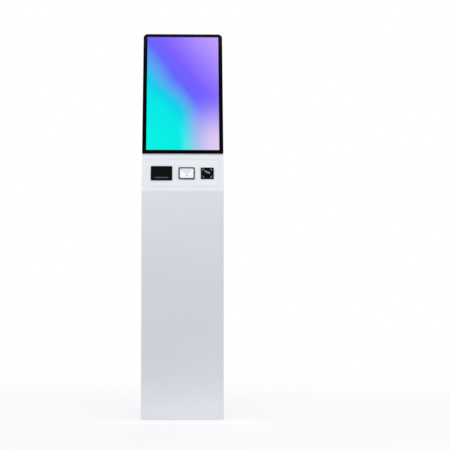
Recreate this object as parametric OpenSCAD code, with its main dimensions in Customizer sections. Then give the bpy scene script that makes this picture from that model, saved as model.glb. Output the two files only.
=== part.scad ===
// Free-standing information kiosk. A folded steel cabinet stands on a flat ballasted base. Its head
// leans back and carries a touch display. A ticket printer, a card reader and a code scanner share
// the plate below the glass. Two doors at the back hang on their lower edges.
// The front is at -Y, up is +Z, and the origin is on the floor at the middle of the footprint.

/* [Cabinet] */
// Width of the cabinet and of the base
body_w = 328; // [318:1:380]
// Thickness of the folded sheet steel
sheet = 2; // [1.5:0.1:2.5]
// Outer radius of the front panel's folds
fold_r = 4; // [3:0.5:6]
// Depth of the front panel's side returns
return_d = 8; // [7:0.5:14]
// Depth of the column
col_d = 83; // [78:1:110]
// Height of the bend below the leaning head
bend_z = 911; // [880:1:960]
// Lean of the head from upright, in degrees
tilt = 20; // [17:0.5:23]
// Length of the head from the bend to its top
head_l = 715; // [712:1:760]
// Thickness of the head
head_t = 66; // [64:1:90]
// Radius of the head's top corners
corner_r = 18; // [12:1:30]
// Distance below the bend where the back starts to slant outwards
neck_drop = 125; // [110:1:180]
// Distance up the head from the bend to the kink in the back
kink_s = 204; // [196:1:230]

/* [Base] */
// Depth of the base
base_d = 463; // [400:1:520]
// Height of the base cover
base_h = 42; // [36:1:60]
// Gap between the base cover and the floor
foot_gap = 2; // [1:0.5:5]
// Thickness of the ballast plate
ballast_t = 8; // [6:1:12]
// Height of the ballast plate's underside
ballast_z = 12; // [10:1:14]
// Radius of a levelling foot's pad
pad_r = 17; // [12:1:22]
// Height of a levelling foot's pad
pad_h = 6; // [4:1:8]
// Radius of a levelling foot's stem
stem_r = 5; // [4:0.5:6]
// Gap between a levelling foot's stem and the top of the base cover
stem_gap = 7; // [3:0.5:12]
// Distance of a foot from the base's front and back
foot_inset = 38; // [30:1:60]
// Distance of a foot from the base's sides
foot_side = 24; // [24:1:40]
// Radius of the bolts that hold the cabinet to the base
bolt_r = 5; // [4:0.5:6]
// Outer radius of the spacers around the bolts
spacer_r = 10; // [9:0.5:14]
// Distance of the bolts from the sides of the cabinet
bolt_inset = 44; // [40:1:80]
// Distance of the bolts from the front and the back of the column
bolt_edge = 21; // [20:1:28]

/* [Doors] */
// Gap around each door
door_gap = 1; // [0.8:0.1:2]
// Radius of the hinge knuckles
knuckle_r = 3.5; // [3:0.1:4]
// Radius of the hinge pins
hinge_pin_r = 1.5; // [1:0.1:2]
// Thickness of the hinge leaves
leaf_t = 1.2; // [0.8:0.1:1.5]
// Width of a hinge leaf from the pin's axis
leaf_w = 18; // [14:0.5:24]
// Number of knuckles in a hinge
knuckle_n = 7; // [5:2:11]
// Gap between neighbouring knuckles
knuckle_gap = 0.6; // [0.3:0.1:1]
// Distance from the hinge's axis to a door's lower edge
hinge_clear = 4.5; // [4.5:0.1:6]
// Distance of the upper lock below the head's top
upper_lock_drop = 80; // [70:1:120]
// Gap between the upper hinge's frame leaf and the lower lock's nut
leaf_nut_gap = 1.2; // [0.8:0.1:12]
// Distance from a lock's axis to its door's top edge
lock_edge = 17; // [15:0.5:18]
// Width of the ledges that the doors close on
ledge_w = 14; // [10:1:16]
// Length of a vent slot
vent_w = 70; // [40:1:100]
// Height of a vent slot
vent_h = 4; // [3:0.5:6]
// Distance between vent slots
vent_pitch = 11; // [9:1:16]
// Number of vent slots in each column
vent_n = 9; // [4:1:12]

/* [Locks] */
// Radius of a lock's outer flange
flange_r = 9.5; // [9:0.1:11]
// Height of a lock's outer flange
flange_h = 8; // [6:0.5:9]
// Radius of a lock's barrel
barrel_r = 8; // [7:0.1:8.5]
// Length of a lock's barrel behind the door's outer face
barrel_l = 16; // [15:0.5:18]
// Radius of a lock's turning cylinder
plug_r = 6; // [5:0.1:6.5]
// Reach of a lock's cam
cam_l = 24; // [22:0.5:26]
// Width of a lock's cam
cam_w = 14; // [12:0.5:16]
// Thickness of a lock's cam
cam_t = 2.5; // [2:0.1:3]
// Corner radius of a lock's six-sided nut
nut_r = 12.5; // [11:0.1:12.8]
// Thickness of a lock's nut
nut_t = 5; // [3:0.5:6]

/* [Display] */
// Length of the bare front between the bend and the touch glass
chin_l = 163; // [140:1:220]
// Thickness of the touch glass
glass_t = 4; // [3:0.5:6]
// Thickness of the tape under the glass
tape_t = 1; // [0.5:0.1:2]
// Width of the black border at the sides of the lit picture
view_side = 16.5; // [13:0.25:30]
// Width of the black border above and below the lit picture
view_end = 15; // [12:0.5:30]
// Gap between the lit picture and the front panel's window
view_gap = 1.5; // [1:0.1:2]
// Border of the display panel around the lit picture
panel_border = 5.5; // [4:0.1:6]
// Thickness of the display panel
panel_t = 14; // [10:1:18]
// Depth of the controller box
controller_d = 28; // [20:1:32]

/* [Modules] */
// Distance of the module plate from the sides of the head
plate_side = 17.5; // [14:0.5:24]
// Distance of the module plate's lower edge from the bend
plate_low = 20; // [16:1:24]
// Distance of the module plate's upper edge from the glass
plate_high = 24; // [18:1:30]
// Gap around the module plate
seam = 1; // [0.5:0.1:1.5]
// Distance of the modules' middle below the plate's middle
module_drop = 3.5; // [0:0.5:6]
// Height of the modules above the module plate
proud = 3; // [2.5:0.1:4]
// Distance of the printer's middle from the plate's left edge
printer_in = 61.5; // [55:0.5:70]
// Distance of the reader's middle to the right of the plate's middle
reader_x = 15.7; // [10:0.1:20]
// Width of the reader's frame
reader_w = 66; // [60:1:70]
// Length of the reader's frame
reader_l = 53; // [48:1:58]
// Width of the rim around the reader's pad
reader_rim = 5.5; // [4:0.1:7]
// Depth of the reader's housing
reader_d = 20; // [14:1:26]
// Distance of the scanner's middle from the plate's right edge
scanner_in = 48; // [42:0.5:56]
// Width of the scanner's window
scanner_w = 52; // [46:1:56]
// Length of the scanner's window
scanner_l = 50; // [46:1:54]
// Depth of the scanner's housing
scanner_d = 34; // [30:1:40]

/* [Printer] */
// Width of the printer's bezel at the sides of its opening
bezel_side = 7.5; // [6.5:0.5:12]
// Width of the printer's bezel above its opening
bezel_end = 5; // [4:0.5:10]
// Width of the paper cover past each side of the paper
cover_side = 6.5; // [6.2:0.1:10]
// Height of the cover's hinge above the printer's middle
cover_top = 23; // [22:0.5:24]
// Distance of the cover's lower edge below the printer's middle
cover_low = 15; // [14:0.5:16]
// Height of the paper slot
slot_h = 2; // [1.5:0.1:2.5]
// Height of the tear bar
tear_h = 5; // [3:0.5:6]
// Radius of the cover's hinge pin
cover_pin_r = 1; // [0.8:0.1:1.2]
// Width of the paper
paper_w = 57; // [50:0.5:57.4]
// Radius of the paper roll
roll_r = 15; // [12:0.5:15.5]
// Radius of the paper roll's core
core_r = 6; // [4:0.5:8]
// Radius of the platen's rubber
platen_r = 4.5; // [4:0.1:4.6]
// Radius of the platen's shaft
platen_shaft_r = 2; // [1.5:0.1:2.2]
// Tooth module of the feed gears
tooth = 0.6; // [0.6:0.01:0.62]
// Radius of the stepper motor
motor_r = 10; // [8:0.5:10.5]
// Length of the stepper motor
motor_l = 14; // [10:1:18]

/* [Power] */
// Height of the mains inlet's middle
inlet_z = 130; // [110:1:180]
// Width of the power supply
supply_w = 150; // [140:1:180]
// Depth of the power supply
supply_d = 38; // [32:1:42]
// Length of the power supply
supply_l = 130; // [100:1:160]
// Height of the power supply's underside
supply_z = 220; // [215:1:300]
// Radius of the wiring loom
loom_r = 5; // [3:0.5:6]

/* [Hidden] */
$fn = 48;
// Running clearance of pins and shafts, on the radius
run = 0.05;
// Clearance of holes and of pieces that drop into one another
loose = 0.25;
// Overlap of cutting shapes past the face that they cut
cut = 1;

// Flat strips that make up a quarter turn of the front panel's folds
fold_n = 6;
// Draw of the front panel's sides behind the side panels' faces
side_step = 0.05;

base_z = foot_gap + base_h;
stem_z = base_z - sheet - stem_gap;
neck_z = bend_z - neck_drop;
inner_w = body_w - 2 * sheet;
door_w = inner_w - 2 * door_gap;

// A point of the side outline, as depth and height, from a depth behind the head's front plane
// and a distance up the head from the bend
function head_pt(t, s) = [s * sin(tilt) + t * cos(tilt), bend_z + s * cos(tilt) - t * sin(tilt)];
kink = head_pt(head_t, kink_s);
neck_lean = atan2(kink[0] - col_d, kink[1] - neck_z);
neck_l = norm(kink - [col_d, neck_z]);
corner_s = head_l - corner_r;

// Doors, as seen from their hinges
knuckle_dip = 0.1;
hinge_y = knuckle_r - leaf_t - sheet - knuckle_dip;
hinge_end = 2;
hinge_l = door_w - 2 * ledge_w - 2 * hinge_end;
leaf_y = -sheet - leaf_t;
leaf_clear = hinge_clear - 0.5;
upper_lock_z = head_l - kink_s - upper_lock_drop;
upper_door_l = upper_lock_z + lock_edge;
lower_lock_drop = leaf_w + nut_r * cos(30) + leaf_nut_gap;
lower_lock_z = neck_l - lower_lock_drop;
lower_door_l = lower_lock_z + lock_edge;
keeper_t = 2;
keeper_w = 36;
keeper_low = 14;
keeper_l = 12;
keeper_y = keeper_t - barrel_l;
cam_gap = 0.3;
tail_w = 8;
ledge_end = 25;
rail_l = 12;
rail_low = 15;
screw_r = 2;
screw_rows = 4;
screw_first = 60;
screw_last = 70;
screw_step = (neck_z - base_z - screw_first - screw_last) / (screw_rows - 1);
screw_zs = [for (i = [0 : screw_rows - 1]) base_z + screw_first + i * screw_step];

// Display
glass_l = head_l - chin_l;
glass_s = head_l - glass_l / 2;
view_w = body_w - 2 * view_side;
view_l = glass_l - 2 * view_end;
lcd_w = view_w + 2 * panel_border;
lcd_l = view_l + 2 * panel_border;
lcd_back = sheet + panel_t;
tape_inset = 1.5;
controller_w = 180;
controller_l = 120;
controller_s = glass_s - 40;

// Modules
plate_w = body_w - 2 * plate_side;
plate_l = chin_l - plate_low - plate_high;
plate_s = plate_low + plate_l / 2;
module_s = plate_s - module_drop;
printer_x = printer_in - plate_w / 2;
scanner_x = plate_w / 2 - scanner_in;
plate_r = 8;
plate_lap = 9;
plate_lap_t = 1.5;
collar_d = 6;
reader_in_w = reader_w - 2 * reader_rim;
reader_in_l = reader_l - 2 * reader_rim;
scanner_in_w = scanner_w - 8;
scanner_in_l = scanner_l - 8;
case_wall = 2;
bezel_r = 3;
reader_r = 6;
pad_corner_r = 3;
window_r = 2;

// Printer, seen from its middle: x across, t behind the plate's face, s up the plate
cover_w = paper_w + 2 * cover_side;
open_w = cover_w + 1;
open_top = cover_top + 3;
bezel_w = open_w + 2 * bezel_side;
bezel_l = 2 * (open_top + bezel_end);
collar_in = 3;
collar_w = bezel_w - 2 * collar_in;
collar_l = bezel_l - 2 * collar_in;
slot_s = -cover_low - slot_h;
hinge_t = -0.5;
cover_knuckle_r = proud + hinge_t;
pin_seat = 2.5;
tear_pocket = 1;
bay_w = paper_w + 1.4;
arm_x = paper_w / 2 + 0.8;
arm_t = 2;
arm_end = 3.5;
arm_l = 6;
platen_t = 7;
platen_s = -10.5;
gear_x = arm_x + arm_t + 0.5;
gear_w = 2.5;
platen_teeth = 16;
idler_teeth = 24;
pinion_teeth = 12;
pressure = 20;
tip_height = 0.8;
root_depth = 1.25;
backlash = 0.12;
mesh_gap = 0.1;
idler_t = platen_t + tooth * (platen_teeth + idler_teeth) / 2 + mesh_gap;
pinion_s = platen_s + tooth * (idler_teeth + pinion_teeth) / 2 + mesh_gap;
idler_out_r = tooth * (idler_teeth / 2 + tip_height);
pinion_out_r = tooth * (pinion_teeth / 2 + tip_height);
gear_gap = 0.4;
well_gap = 0.6;
idler_axle_r = 1.5;
motor_shaft_r = 1;
head_t0 = platen_t + platen_r + 0.3;
head_plate_t = 2;
front_bay_t = head_t0 + 0.5;
head_low = platen_s - 7;
head_top = platen_s + 3.8;
roll_front = 7.2;
roll_lift = 0.2;
roll_t = head_t0 + head_plate_t + roll_front + roll_r;
roll_s = head_top + roll_lift + roll_r;
roll_gap = 0.3;
bay_r = roll_r + roll_gap;
bucket_roof = 3.7;
bucket_w = open_w + 4;
bucket_t = roll_t + bay_r + case_wall;
bucket_low = -22;
bucket_top = roll_s + bay_r + bucket_roof;
flange_t = 2;
button_x = (bezel_w + open_w) / 4;
button_s = 8;
button_w = 4.6;
button_l = 12;
button_r = 1;
feed_r = 2.3;
button_gap = 0.2;
button_stem_r = 1.2;
button_stem_x = button_x - 1.2;
button_cap_t = 1.5;
button_proud = 1.4;

// Power
inlet_w = 27;
inlet_l = 47;
inlet_d = 25;
inlet_lip = 2;
inlet_lip_t = 2.5;
rocker_s = 12;
rocker_tip = 8;
rocker_w = 12;
rocker_half = 8.2;
rocker_clear = 0.4;
rocker_in = 4;
rocker_out = 2.5;
rocker_dish = 1.6;
rocker_draft = 2;
rocker_well = 8;
axle_r = 1.2;
axle_out = 2;
axle_gap = 0.5;
socket_s = -9;
inlet_r = 2;
cable_sides = 10;

// Frames of the assembly
// From the column's front edge on the floor
module in_body() {
    translate([0, -base_d / 2, 0]) children();
}

// From the bend, with y into the head and z up its front plane
module on_head() {
    in_body() translate([0, 0, bend_z]) rotate([-tilt, 0, 0]) children();
}

// From the middle of the printer
module on_printer() {
    on_head() translate([printer_x, 0, module_s]) children();
}

// From the upper hinge, with y out of the back and z up the upper door
module on_upper_door() {
    on_head() translate([0, head_t, kink_s]) children();
}

// From the lower hinge, with y out of the back and z up the lower door
module on_lower_door() {
    in_body() translate([0, col_d, neck_z]) rotate([-neck_lean, 0, 0]) children();
}

// From the kink, with y out of the back and z up the slanted back below it
module below_kink() {
    on_lower_door() translate([0, 0, neck_l]) children();
}

// From the top of the column's back
module on_back() {
    in_body() translate([0, col_d, neck_z]) children();
}

// Shared shapes
// A rectangle about the origin with round corners
module round_rect(w, l, r) {
    square([w - 2 * r, l], center = true);
    square([w, l - 2 * r], center = true);
    for (x = [-1, 1], y = [-1, 1]) {
        translate([x * (w / 2 - r), y * (l / 2 - r)]) circle(r = r);
    }
}

// A flat shape drawn as x and s, made solid from depth t0 to depth t1
module slab(t0, t1) {
    translate([0, t1, 0]) rotate([90, 0, 0]) linear_extrude(t1 - t0) children();
}

// A round bar along x
module rod(r, x0, x1, t, s) {
    translate([x0, t, s]) rotate([0, 90, 0]) cylinder(r = r, h = x1 - x0);
}

// A round bar along y
module peg(r, y0, y1, x, s) {
    translate([x, y1, s]) rotate([90, 0, 0]) cylinder(r = r, h = y1 - y0);
}

// A box from its low corner to its high corner
module block(low, high) {
    translate(low) cube(high - low);
}

// A solid through rings of points, each ring counterclockwise as seen from the last one
module skin(rings) {
    n = len(rings[0]);
    last = len(rings) - 1;
    walls = [for (i = [0 : last - 1], k = [0 : n - 1])
        let (a = i * n, b = (k + 1) % n) [a + k, a + n + k, a + n + b, a + b]];
    ends = [[for (k = [0 : n - 1]) k], [for (k = [n - 1 : -1 : 0]) last * n + k]];
    polyhedron([for (ring = rings) each ring], concat(walls, ends));
}

// The head's front outline from a distance up the head, drawn in by an inset
module face_outline(from_s, inset) {
    half = body_w / 2 - inset;
    r = corner_r - inset;
    translate([-half, from_s]) square([2 * half, corner_s - from_s]);
    translate([-half + r, corner_s - cut]) square([2 * half - 2 * r, r + cut]);
    for (x = [-1, 1]) {
        translate([x * (half - r), corner_s]) circle(r = r);
    }
}

// Base
module base_outline(inset) {
    translate([0, base_d / 2]) round_rect(body_w - 2 * inset, base_d - 2 * inset, fold_r - min(inset, sheet));
}

module at_bolts() {
    for (x = [-1, 1], d = [bolt_edge, col_d - bolt_edge]) {
        translate([x * (body_w / 2 - bolt_inset), d, 0]) children();
    }
}

module at_rear_spacers() {
    for (x = [-1, 1]) {
        translate([x * (body_w / 2 - bolt_inset), base_d - 2 * foot_inset, 0]) children();
    }
}

module base_cover() {
    color("white") in_body() difference() {
        translate([0, 0, foot_gap]) linear_extrude(base_h) base_outline(0);
        translate([0, 0, foot_gap - cut]) linear_extrude(base_h - sheet + cut) base_outline(sheet);
        at_bolts() cylinder(r = bolt_r + loose, h = base_z + cut);
    }
}

module base_plate() {
    color("dimgray") in_body() difference() {
        translate([0, 0, ballast_z]) linear_extrude(ballast_t) base_outline(sheet + loose);
        at_bolts() cylinder(r = bolt_r, h = base_z);
        for (x = [-1, 1], d = [foot_inset, base_d - foot_inset]) {
            translate([x * (body_w / 2 - foot_side), d, 0]) cylinder(r = stem_r + run, h = base_z);
        }
    }
}

module base_spacers() {
    color("silver") in_body() {
        at_bolts() spacer_tube();
        at_rear_spacers() spacer_tube();
    }
}

module spacer_tube() {
    translate([0, 0, ballast_z + ballast_t]) difference() {
        cylinder(r = spacer_r, h = base_z - sheet - ballast_z - ballast_t);
        translate([0, 0, -cut]) cylinder(r = bolt_r + loose, h = base_h);
    }
}

module column_bolts() {
    bolt_head_h = 6;
    bolt_head_r = 1.7 * bolt_r;
    color("silver") in_body() at_bolts() {
        translate([0, 0, ballast_z]) cylinder(r = bolt_r, h = base_z + sheet - ballast_z + cut);
        translate([0, 0, base_z + sheet]) cylinder(r = bolt_head_r, h = bolt_head_h, $fn = 6);
    }
}

// A levelling foot: side is -1 on the left and 1 on the right
module foot(side, d) {
    color("dimgray") in_body() translate([side * (body_w / 2 - foot_side), d, 0]) {
        cylinder(r = pad_r, h = pad_h);
        cylinder(r = stem_r, h = stem_z);
    }
}

// Cabinet
// Points of a quarter circle about a middle, from a start angle
function quarter(x, d, r, turn) = [for (i = [0 : fold_n])
    let (a = turn + 90 * i / fold_n) [x + r * cos(a), d + r * sin(a)]];

// A flat front with two round edges, as x and depth, solid to a depth
module fold_shape(w, r, d) {
    left = quarter(r - w / 2, r, r, 180);
    right = quarter(w / 2 - r, r, r, 270);
    polygon(concat([[-w / 2, d]], left, right, [[w / 2, d]]));
}

// The space behind both the column's front and the head's front, drawn in by an inset
module behind_front(inset) {
    deep = 3 * head_l;
    w = body_w - 2 * inset;
    r = fold_r - inset;
    intersection() {
        translate([0, inset, 0]) linear_extrude(deep) fold_shape(w, r, deep);
        translate([0, 0, bend_z]) rotate([-tilt, 0, 0]) translate([0, inset, -deep]) {
            linear_extrude(2 * deep) fold_shape(w - 2 * side_step, r, deep);
        }
    }
}

module front_panel() {
    mitre_z = bend_z - return_d * tan(tilt / 2);
    color("white") difference() {
        union() {
            in_body() intersection() {
                behind_front(0);
                translate([-body_w, 0, 0]) rotate([90, 0, 90]) linear_extrude(2 * body_w) polygon([
                    [-return_d, base_z], [return_d, base_z], [return_d, mitre_z],
                    head_pt(return_d, corner_s), head_pt(-return_d, corner_s), [-return_d, bend_z]
                ]);
            }
            on_head() slab(0, sheet) face_outline(corner_s - cut, 0);
        }
        in_body() behind_front(sheet);
        on_head() slab(-cut, sheet + cut) {
            translate([0, glass_s]) square([view_w + 2 * view_gap, view_l + 2 * view_gap], center = true);
            translate([0, plate_s]) round_rect(plate_w + 2 * seam, plate_l + 2 * seam, plate_r + seam);
        }
    }
}

module at_screws() {
    for (x = [-1, 1], z = screw_zs) {
        translate([x * (inner_w - ledge_w) / 2, col_d, z]) children();
    }
}

module side_outline() {
    mitre_z = bend_z - return_d * tan(tilt / 2);
    polygon([
        [return_d, base_z], [return_d, mitre_z], head_pt(return_d, corner_s), head_pt(head_t, corner_s),
        kink, [col_d, neck_z], [col_d, base_z]
    ]);
}

// A ledge behind a door or the back panel, on the right side, from z0 to z1 up it
module ledge(z0, z1) {
    block([inner_w / 2 - ledge_w, -2 * sheet, z0], [inner_w / 2 + sheet / 2, -sheet, z1]);
}

module side_panel(side) {
    color("white") mirror([side < 0 ? 1 : 0, 0, 0]) difference() {
        union() {
            in_body() translate([inner_w / 2, 0, 0]) rotate([90, 0, 90]) linear_extrude(sheet) side_outline();
            on_upper_door() ledge(ledge_end, upper_door_l - ledge_end);
            on_lower_door() ledge(ledge_end, lower_door_l - ledge_end);
            in_body() translate([0, col_d, 0]) ledge(base_z + ledge_end, neck_z - ledge_end);
        }
        in_body() at_screws() peg(screw_r, -3 * sheet, cut, 0, 0);
    }
}

// The catch that a lock's cam turns behind, seen from the lock's door
module keeper(lock_z) {
    low = lock_z + keeper_low;
    block([-keeper_w / 2, -barrel_l, low], [keeper_w / 2, keeper_y, low + keeper_l]);
}

module top_cap() {
    strip_s = kink_s + upper_door_l + door_gap;
    color("white") {
        on_head() {
            slab(sheet, head_t) difference() {
                face_outline(strip_s, 0);
                face_outline(strip_s - cut, sheet);
                translate([-body_w, corner_s - head_l]) square([2 * body_w, head_l]);
            }
            slab(head_t - sheet, head_t) difference() {
                face_outline(strip_s, 0);
                for (x = [-inner_w / 2 - body_w, inner_w / 2]) {
                    translate([x, corner_s - head_l]) square([body_w, head_l]);
                }
            }
        }
        on_upper_door() {
            keeper(upper_lock_z);
            block([-keeper_w / 2, keeper_y, upper_door_l + 2 * door_gap],
                [keeper_w / 2, -sheet, upper_lock_z + keeper_low + keeper_l]);
        }
    }
}

// The rail under the kink and the rail at the top of the column
module cross_rails() {
    pad_x = hinge_l / 2 + door_gap;
    strip_low = -lower_lock_drop + lock_edge + door_gap;
    color("white") {
        below_kink() {
            block([-inner_w / 2, -sheet, strip_low], [inner_w / 2, 0, -hinge_clear]);
            for (x = [-inner_w / 2, pad_x]) {
                block([x, leaf_y, strip_low], [x + inner_w / 2 - pad_x, -sheet, -hinge_clear]);
            }
            block([-inner_w / 2, keeper_y, -rail_low], [inner_w / 2, leaf_y, rail_l - rail_low]);
        }
        on_lower_door() keeper(lower_lock_z);
        on_back() block([-inner_w / 2, keeper_y, -rail_low], [inner_w / 2, leaf_y, rail_l - rail_low]);
    }
}

module cabinet_floor() {
    floor_l = col_d - 2 * sheet;
    color("white") in_body() translate([0, 0, base_z]) difference() {
        translate([0, sheet + floor_l / 2, 0]) linear_extrude(sheet) {
            round_rect(inner_w - 2 * loose, floor_l, fold_r - sheet);
        }
        translate([0, 0, -cut]) at_bolts() cylinder(r = bolt_r + loose, h = sheet + 2 * cut);
    }
}

module back_panel() {
    color("white") in_body() difference() {
        block([-door_w / 2, col_d - sheet, base_z + door_gap], [door_w / 2, col_d, neck_z - hinge_clear]);
        at_screws() peg(screw_r + loose, -2 * sheet, cut, 0, 0);
        block([-inlet_w / 2 - loose, col_d - 2 * sheet, inlet_z - inlet_l / 2 - loose],
            [inlet_w / 2 + loose, col_d + cut, inlet_z + inlet_l / 2 + loose]);
    }
}

module back_panel_screws() {
    screw_head_h = 2.2;
    color("silver") in_body() at_screws() {
        peg(2 * screw_r, 0, screw_head_h, 0, 0);
        peg(screw_r, -2 * sheet, cut, 0, 0);
    }
}

// Hinges and doors
module knuckle_row(first, bore) {
    step = hinge_l / knuckle_n;
    for (i = [first:2:knuckle_n - 1]) {
        x = i * step - hinge_l / 2 + knuckle_gap / 2;
        difference() {
            rod(knuckle_r, x, x + step - knuckle_gap, hinge_y, 0);
            rod(bore, x - cut, x + step + cut, hinge_y, 0);
        }
    }
}

// A hinge's leaf above its pin, with tabs to every second knuckle
module leaf(first) {
    step = hinge_l / knuckle_n;
    block([-hinge_l / 2, leaf_y, leaf_clear], [hinge_l / 2, -sheet, leaf_w]);
    for (i = [first:2:knuckle_n - 1]) {
        x = i * step - hinge_l / 2 + knuckle_gap / 2;
        block([x, leaf_y, 0], [x + step - knuckle_gap, -sheet, leaf_clear + cut]);
    }
}

module hinge_pins() {
    color("silver") {
        on_upper_door() rod(hinge_pin_r, -hinge_l / 2, hinge_l / 2, hinge_y, 0);
        on_lower_door() rod(hinge_pin_r, -hinge_l / 2, hinge_l / 2, hinge_y, 0);
    }
}

module hinge_frame_leaves() {
    color("silver") {
        on_upper_door() knuckle_row(0, hinge_pin_r);
        below_kink() mirror([0, 0, 1]) leaf(0);
        on_lower_door() knuckle_row(0, hinge_pin_r);
        on_back() mirror([0, 0, 1]) leaf(0);
    }
}

module door_leaf() {
    color("silver") {
        knuckle_row(1, hinge_pin_r + run);
        leaf(1);
    }
}

module door(length, lock_z) {
    difference() {
        block([-door_w / 2, -sheet, hinge_clear], [door_w / 2, 0, length]);
        peg(barrel_r, -2 * sheet, cut, 0, lock_z);
    }
}

module vent_slot() {
    end_x = (vent_w - vent_h) / 2;
    square([2 * end_x, vent_h], center = true);
    for (x = [-end_x, end_x]) {
        translate([x, 0]) circle(d = vent_h);
    }
}

module upper_door() {
    vent_middle = 24;
    vent_x = (vent_w + vent_middle) / 2;
    vent_z = 60;
    vent_top = upper_lock_z - vent_z - vent_n * vent_pitch;
    color("white") on_upper_door() difference() {
        door(upper_door_l, upper_lock_z);
        for (x = [-vent_x, vent_x], z = [vent_z, vent_top], i = [0 : vent_n - 1]) {
            translate([x, 0, z + i * vent_pitch]) slab(-2 * sheet, cut) vent_slot();
        }
    }
}

module lower_door() {
    color("white") on_lower_door() door(lower_door_l, lower_lock_z);
}

// Cam locks, seen from a door's frame
module lock_housing(lock_z) {
    rim = 1;
    color("silver") difference() {
        union() {
            peg(flange_r, 0, flange_h - rim, 0, lock_z);
            peg(flange_r - rim, 0, flange_h, 0, lock_z);
            peg(barrel_r, -barrel_l, cut, 0, lock_z);
        }
        peg(plug_r + run, -barrel_l - cut, flange_h + cut, 0, lock_z);
    }
}

module lock_nut(lock_z) {
    color("silver") difference() {
        translate([0, -sheet, lock_z]) rotate([90, 0, 0]) cylinder(r = nut_r, h = nut_t, $fn = 6);
        peg(barrel_r, -sheet - nut_t - cut, 0, 0, lock_z);
    }
}

module lock_cylinder(lock_z) {
    key_w = 1.4;
    key_l = 7;
    key_d = 6;
    recess = 0.6;
    color("silver") difference() {
        union() {
            peg(plug_r, -barrel_l, flange_h - recess, 0, lock_z);
            translate([-tail_w / 2, -barrel_l - cam_gap - cam_t, lock_z - tail_w / 2]) {
                cube([tail_w, cam_t + cam_gap + cut, tail_w]);
            }
        }
        block([-key_w / 2, flange_h - key_d, lock_z - key_l / 2],
            [key_w / 2, flange_h + cut, lock_z + key_l / 2]);
    }
}

module lock_cam(lock_z) {
    back = -barrel_l - cam_gap - cam_t;
    color("silver") translate([0, 0, lock_z]) difference() {
        union() {
            peg(cam_w / 2, back, back + cam_t, 0, 0);
            block([0, back, -cam_w / 2], [cam_l, back + cam_t, cam_w / 2]);
        }
        block([-tail_w / 2, back - cut, -tail_w / 2], [tail_w / 2, back + cam_t + cut, tail_w / 2]);
    }
}

// Display
module touch_glass() {
    color("black") on_head() slab(-tape_t - glass_t, -tape_t) face_outline(head_l - glass_l, 0);
}

module glass_tape() {
    color("dimgray") on_head() slab(-tape_t, 0) difference() {
        face_outline(head_l - glass_l + tape_inset, tape_inset);
        translate([0, glass_s]) square([view_w + 2 * view_gap, view_l + 2 * view_gap], center = true);
    }
}

module display_panel() {
    color("teal") on_head() slab(sheet, lcd_back) {
        translate([0, glass_s]) square([lcd_w, lcd_l], center = true);
    }
}

// Two angles that clamp the display panel's long edges
module display_brackets() {
    bracket_end = 60;
    bracket_l = lcd_l - 2 * bracket_end;
    bracket_low = glass_s - bracket_l / 2;
    side_gap = 3.25;
    foot_w = (inner_w - lcd_w) / 2 - side_gap;
    lap = 14;
    color("silver") on_head() for (x = [0, 1]) mirror([x, 0, 0]) {
        block([lcd_w / 2, sheet, bracket_low], [lcd_w / 2 + foot_w, lcd_back, bracket_low + bracket_l]);
        block([lcd_w / 2 - lap, lcd_back, bracket_low],
            [lcd_w / 2 + foot_w, lcd_back + sheet, bracket_low + bracket_l]);
    }
}

module controller_box() {
    fin_w = 4;
    fin_d = 5;
    fin_end = 10;
    fin_edge = 5 * fin_w;
    box_r = 5;
    color("dimgray") on_head() difference() {
        slab(lcd_back, lcd_back + controller_d) translate([0, controller_s]) {
            round_rect(controller_w, controller_l, box_r);
        }
        for (x = [-controller_w / 2 + fin_edge : 3 * fin_w : controller_w / 2 - fin_edge]) {
            block([x, lcd_back + controller_d - fin_d, controller_s - controller_l / 2 + fin_end],
                [x + fin_w, lcd_back + controller_d + cut, controller_s + controller_l / 2 - fin_end]);
        }
    }
}

// Power
module at_inlet() {
    in_body() translate([0, col_d, inlet_z]) children();
}

module power_inlet() {
    socket_w = 24;
    socket_l = 17;
    socket_d = 15;
    axle_end = rocker_w / 2 + axle_out + axle_gap;
    pin_l = 9;
    pin_w = 2;
    pin_h = 4;
    pin_step = 7;
    pin_rise = 4;
    pin_drop = 2;
    color("black") at_inlet() {
        difference() {
            union() {
                slab(0, inlet_lip_t) round_rect(inlet_w + 2 * inlet_lip, inlet_l + 2 * inlet_lip, inlet_r);
                slab(-inlet_d, cut) square([inlet_w, inlet_l], center = true);
            }
            slab(inlet_lip_t - socket_d, inlet_lip_t + cut) translate([0, socket_s]) {
                round_rect(socket_w, socket_l, inlet_r);
            }
            block([-rocker_w / 2 - rocker_clear, -rocker_well, rocker_s - rocker_half - 2 * rocker_clear],
                [rocker_w / 2 + rocker_clear, inlet_lip_t + cut, rocker_s + rocker_half + 2 * rocker_clear]);
            rod(axle_r + run, -axle_end, axle_end, 0, rocker_s);
        }
        for (i = [-1, 0, 1]) {
            x = i * pin_step;
            z = socket_s + (i == 0 ? pin_rise : -pin_drop);
            block([x - pin_w / 2, inlet_lip_t - socket_d - cut, z - pin_h / 2],
                [x + pin_w / 2, inlet_lip_t - socket_d + pin_l, z + pin_h / 2]);
        }
    }
}

module power_rocker() {
    color("black") at_inlet() translate([0, 0, rocker_s]) rotate([rocker_tip, 0, 0]) {
        translate([-rocker_w / 2, 0, 0]) rotate([90, 0, 90]) linear_extrude(rocker_w) polygon([
            [-rocker_in, -rocker_half + rocker_draft], [rocker_out, -rocker_half], [rocker_dish, 0],
            [rocker_out, rocker_half], [-rocker_in, rocker_half - rocker_draft]
        ]);
        rod(axle_r, -rocker_w / 2 - axle_out, rocker_w / 2 + axle_out, 0, 0);
    }
}

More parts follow.
